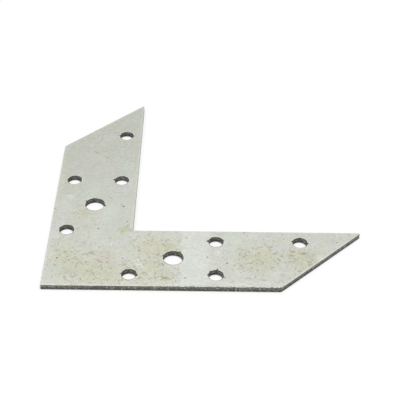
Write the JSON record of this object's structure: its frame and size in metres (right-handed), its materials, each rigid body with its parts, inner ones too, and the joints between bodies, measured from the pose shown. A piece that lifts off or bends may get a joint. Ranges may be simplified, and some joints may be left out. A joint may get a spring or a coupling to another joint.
{
  "type": "corner brace bracket",
  "caption": "Flat L-shaped steel plate with mitred pointed arms and plain round screw and bolt holes, for joining a right-angled frame corner.",
  "frame": {"origin": "the plate's outside corner, where its two long outer edges meet, on the underside", "axes": "+X along the outer edge of one arm, +Y along the outer edge of the other, +Z out of the top face"},
  "size_m": [0.1492, 0.1492, 0.0025],
  "materials": {
    "galvanised_steel": "dull passivated zinc, slightly stained, with dark punched edges"
  },
  "bodies": {
    "root": {"corner_plate": "galvanised_steel"}
  },
  "joints": []
}
